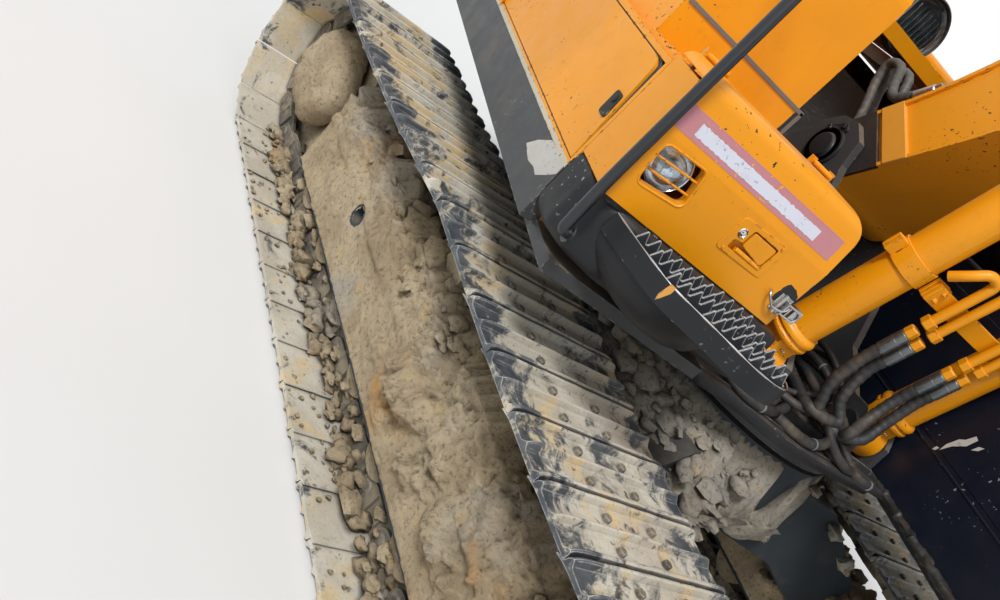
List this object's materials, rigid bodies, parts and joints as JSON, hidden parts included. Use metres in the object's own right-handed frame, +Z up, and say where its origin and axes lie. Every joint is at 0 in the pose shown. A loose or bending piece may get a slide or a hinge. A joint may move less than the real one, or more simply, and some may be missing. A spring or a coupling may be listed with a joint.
{
  "type": "crawler excavator",
  "caption": "Crawler excavator of the 16 to 17 tonne class with a one-piece boom, arm and digging bucket; upper structure turned a little to the right of its tracks.",
  "frame": {"origin": "centre of the overall box, on the ground", "axes": "+X to the front of the upper structure, +Y to its left, +Z up"},
  "size_m": [7.1708, 3.4086, 5.225],
  "materials": {
    "clay_grey_paint": "dark blue-grey paint under clay and dust",
    "dusty_steel": "worn steel with ochre dirt",
    "bright_steel": "machined, lightly oiled",
    "dark_paint": "near-black enamel, dusty",
    "orange_paint": "orange-yellow enamel, slightly chalked, chipped edges",
    "cast_iron": "rough",
    "black_paint": "semi-gloss black enamel",
    "cab_paint": "dark navy enamel",
    "window_glass": "clear",
    "lamp_glass": "clear lens in a black housing",
    "black_plastic": "matt, worn",
    "chrome": "polished hard chrome",
    "bucket_steel": "bare steel, brown, polished by soil at the edges"
  },
  "bodies": {
    "undercarriage": {"center_frame": "clay_grey_paint", "track_frame_right": "clay_grey_paint", "track_frame_left": "clay_grey_paint", "track_right": "dusty_steel", "track_left": "dusty_steel", "final_drive_right": "clay_grey_paint", "final_drive_left": "clay_grey_paint", "idler_right": "clay_grey_paint", "idler_left": "clay_grey_paint", "rollers_right": "clay_grey_paint", "rollers_left": "clay_grey_paint", "swing_ring": "bright_steel"},
    "boom": {"boom": "orange_paint"},
    "boom_barrels": {"boom_barrels": "orange_paint"},
    "boom_rods": {"boom_rods": "chrome"},
    "arm": {"arm": "orange_paint"},
    "arm_barrel": {"arm_barrel": "orange_paint"},
    "arm_rod": {"arm_rod": "chrome"},
    "bucket_barrel": {"bucket_barrel": "orange_paint"},
    "bucket_rod": {"bucket_rod": "chrome"},
    "tipping_lever": {"tipping_lever": "orange_paint"},
    "bucket_link": {"bucket_link": "orange_paint"},
    "bucket": {"bucket": "bucket_steel"},
    "engine_hood": {"engine_hood": "orange_paint"},
    "pump_door_right": {"pump_door_right": "orange_paint"},
    "radiator_door_left": {"radiator_door_left": "orange_paint"},
    "side_door_right": {"side_door_right": "orange_paint"},
    "toolbox_cover": {"toolbox_cover": "orange_paint"},
    "cab_door": {"cab_door": "cab_paint", "cab_door_glass": "window_glass"},
    "upper_structure": {"revolving_frame": "dark_paint", "counterweight": "dark_paint", "engine_block": "cast_iron", "rear_side_panels": "orange_paint", "fuel_tank": "orange_paint", "hydraulic_tank": "orange_paint", "tank_side_box": "orange_paint", "toolbox": "orange_paint", "front_step": "dark_paint", "handrails": "black_paint", "work_lamp": "lamp_glass", "cab_shell": "cab_paint", "cab_glass": "window_glass", "operator_seat": "black_plastic", "exhaust_pipe": "black_paint"}
  },
  "joints": [
    {"name": "swing", "type": "hinge", "parent": "undercarriage", "child": "upper_structure", "pos_m": [-1.01332, 0, 1], "axis": [0, 0, 1], "continuous": true},
    {"name": "boom_lift", "type": "hinge", "parent": "upper_structure", "child": "boom", "pos_m": [-1.15832, 0, 1.638], "axis": [0, -1, 0], "range_deg": [-76, 24]},
    {"name": "boom_barrels_turn", "type": "hinge", "parent": "upper_structure", "child": "boom_barrels", "pos_m": [-0.54832, 0, 1.107], "axis": [0, -1, 0], "range_deg": [-74.93, 23.87]},
    {"name": "boom_rods_stroke", "type": "slide", "parent": "boom_barrels", "child": "boom_rods", "axis": [0.2178, 0, 0.976], "range_m": [-0.9625, 0.3053]},
    {"name": "arm_swing", "type": "hinge", "parent": "boom", "child": "arm", "pos_m": [3.06977, 0, 4.48988], "axis": [0, -1, 0], "range_deg": [-17, 101]},
    {"name": "arm_barrel_turn", "type": "hinge", "parent": "boom", "child": "arm_barrel", "pos_m": [0.57717, 0, 4.3405], "axis": [0, -1, 0], "range_deg": [-1.19, 5.6]},
    {"name": "arm_rod_stroke", "type": "slide", "parent": "arm_barrel", "child": "arm_rod", "axis": [0.9661, 0, 0.2581], "range_m": [-1.1743, 0.1993]},
    {"name": "bucket_curl", "type": "hinge", "parent": "arm", "child": "bucket", "pos_m": [2.8898, 0, 1.91617], "axis": [0, -1, 0], "range_deg": [-73, 97]},
    {"name": "bucket_barrel_turn", "type": "hinge", "parent": "arm", "child": "bucket_barrel", "pos_m": [3.52768, 0, 4.15713], "axis": [0, -1, 0], "range_deg": [-2.54, 3.28]},
    {"name": "bucket_rod_stroke", "type": "slide", "parent": "bucket_barrel", "child": "bucket_rod", "axis": [-0.0261, 0, -0.9997], "range_m": [-0.5945, 0.4479]},
    {"name": "tipping_lever_turn", "type": "hinge", "parent": "arm", "child": "tipping_lever", "pos_m": [2.93347, 0, 2.25394], "axis": [0, -1, 0], "range_deg": [-47.75, 63.35]},
    {"name": "bucket_link_turn", "type": "hinge", "parent": "bucket", "child": "bucket_link", "pos_m": [3.0798, 0, 1.58708], "axis": [0, -1, 0], "range_deg": [-59.47, 44.83]},
    {"name": "cab_door_open", "type": "hinge", "parent": "upper_structure", "child": "cab_door", "pos_m": [-0.67332, 1.254, 1.9], "axis": [0, 0, 1], "range_deg": [0, 95]},
    {"name": "engine_hood_open", "type": "hinge", "parent": "upper_structure", "child": "engine_hood", "pos_m": [-1.92732, 0, 2.15], "axis": [0, 1, 0], "range_deg": [0, 60]},
    {"name": "pump_door_open", "type": "hinge", "parent": "upper_structure", "child": "pump_door_right", "pos_m": [-2.77132, -1.254, 1.6], "axis": [0, 0, -1], "range_deg": [0, 100]},
    {"name": "radiator_door_open", "type": "hinge", "parent": "upper_structure", "child": "radiator_door_left", "pos_m": [-2.77132, 1.254, 1.6], "axis": [0, 0, 1], "range_deg": [0, 100]},
    {"name": "side_door_open", "type": "hinge", "parent": "upper_structure", "child": "side_door_right", "pos_m": [-1.67132, -1.254, 1.36], "axis": [0, 0, -1], "range_deg": [0, 100]},
    {"name": "toolbox_cover_open", "type": "hinge", "parent": "upper_structure", "child": "toolbox_cover", "pos_m": [-0.45832, -0.94, 1.6], "axis": [0, -1, 0], "range_deg": [0, 75]}
  ],
  "couplings": [
    {"joint": "boom_barrels_turn", "follows": "boom_lift", "ratio": 0.982},
    {"joint": "boom_rods_stroke", "follows": "boom_lift", "m_per_rad": 0.7241},
    {"joint": "arm_barrel_turn", "follows": "arm_swing", "ratio": 0.0525},
    {"joint": "arm_rod_stroke", "follows": "arm_swing", "m_per_rad": -0.665},
    {"joint": "bucket_barrel_turn", "follows": "bucket_curl", "ratio": 0.0307},
    {"joint": "bucket_rod_stroke", "follows": "bucket_curl", "m_per_rad": -0.35},
    {"joint": "tipping_lever_turn", "follows": "bucket_curl", "ratio": 0.65},
    {"joint": "bucket_link_turn", "follows": "bucket_curl", "ratio": -0.61}
  ]
}
